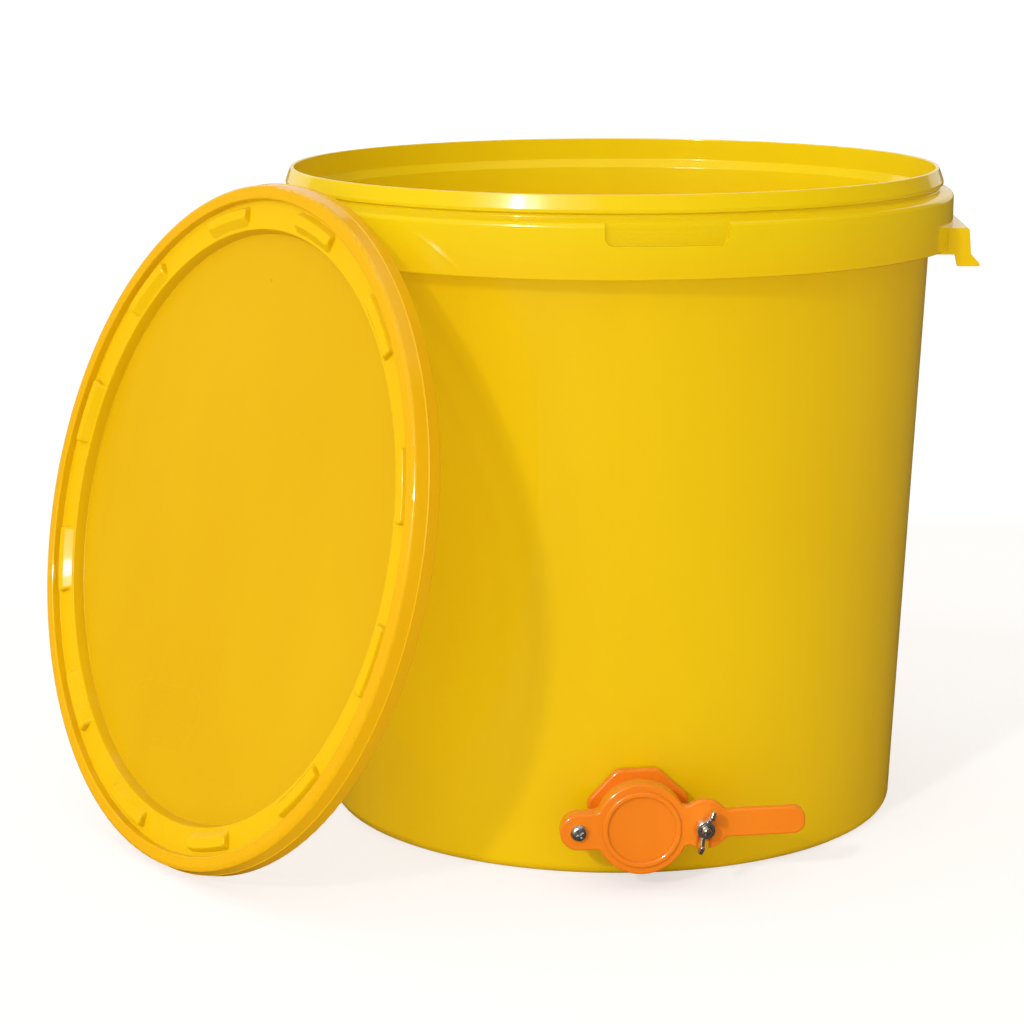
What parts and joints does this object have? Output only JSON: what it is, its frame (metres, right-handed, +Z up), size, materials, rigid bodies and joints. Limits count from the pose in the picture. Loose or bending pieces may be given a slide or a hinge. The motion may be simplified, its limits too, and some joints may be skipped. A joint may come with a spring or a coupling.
{
  "type": "bottling bucket",
  "caption": "Tapered plastic bottling bucket with a collar, side grips and a swinging gate valve low on its wall, its snap lid leaning against the collar.",
  "frame": {"origin": "centre of the foot ring, on the surface that the bucket stands on", "axes": "+Z up along the bucket's axis, -Y out through the gate, +X to the right of someone who faces the gate"},
  "size_m": [0.5484, 0.4715, 0.376],
  "materials": {
    "bucket_plastic": "smooth, slightly translucent yellow polypropylene",
    "lid_plastic": "smooth, slightly translucent yellow polypropylene",
    "gate_plastic": "smooth opaque orange nylon",
    "gasket_rubber": "soft pale food-grade rubber",
    "fastener_steel": "bright stainless steel"
  },
  "bodies": {
    "bucket_body": {"bucket": "bucket_plastic", "lid": "lid_plastic", "gate_body": "gate_plastic", "outer_gasket": "gasket_rubber", "inner_gasket": "gasket_rubber", "lock_nut": "gate_plastic", "pivot_screw": "fastener_steel", "pivot_washer": "fastener_steel", "pivot_nut": "fastener_steel", "clamp_bolt": "fastener_steel"},
    "gate": {"gate_plate": "gate_plastic"},
    "washer": {"clamp_washer": "fastener_steel"},
    "wing": {"wing_nut": "fastener_steel"}
  },
  "joints": [
    {"name": "gate_swing", "type": "hinge", "parent": "bucket_body", "child": "gate", "pos_m": [-0.03398, -0.19038, 0.03441], "axis": [0, -1, 0], "range_deg": [0, 100]},
    {"name": "clamp_washer_travel", "type": "slide", "parent": "bucket_body", "child": "washer", "axis": [0, -1, 0], "range_m": [0, 0.00241]},
    {"name": "wing_nut_turn", "type": "hinge", "parent": "washer", "child": "wing", "pos_m": [0.03398, -0.196, 0.03679], "axis": [0, -1, 0], "range_deg": [0, 1080]}
  ],
  "couplings": [
    {"joint": "clamp_washer_travel", "follows": "wing_nut_turn", "m_per_rad": 0.00012732}
  ]
}
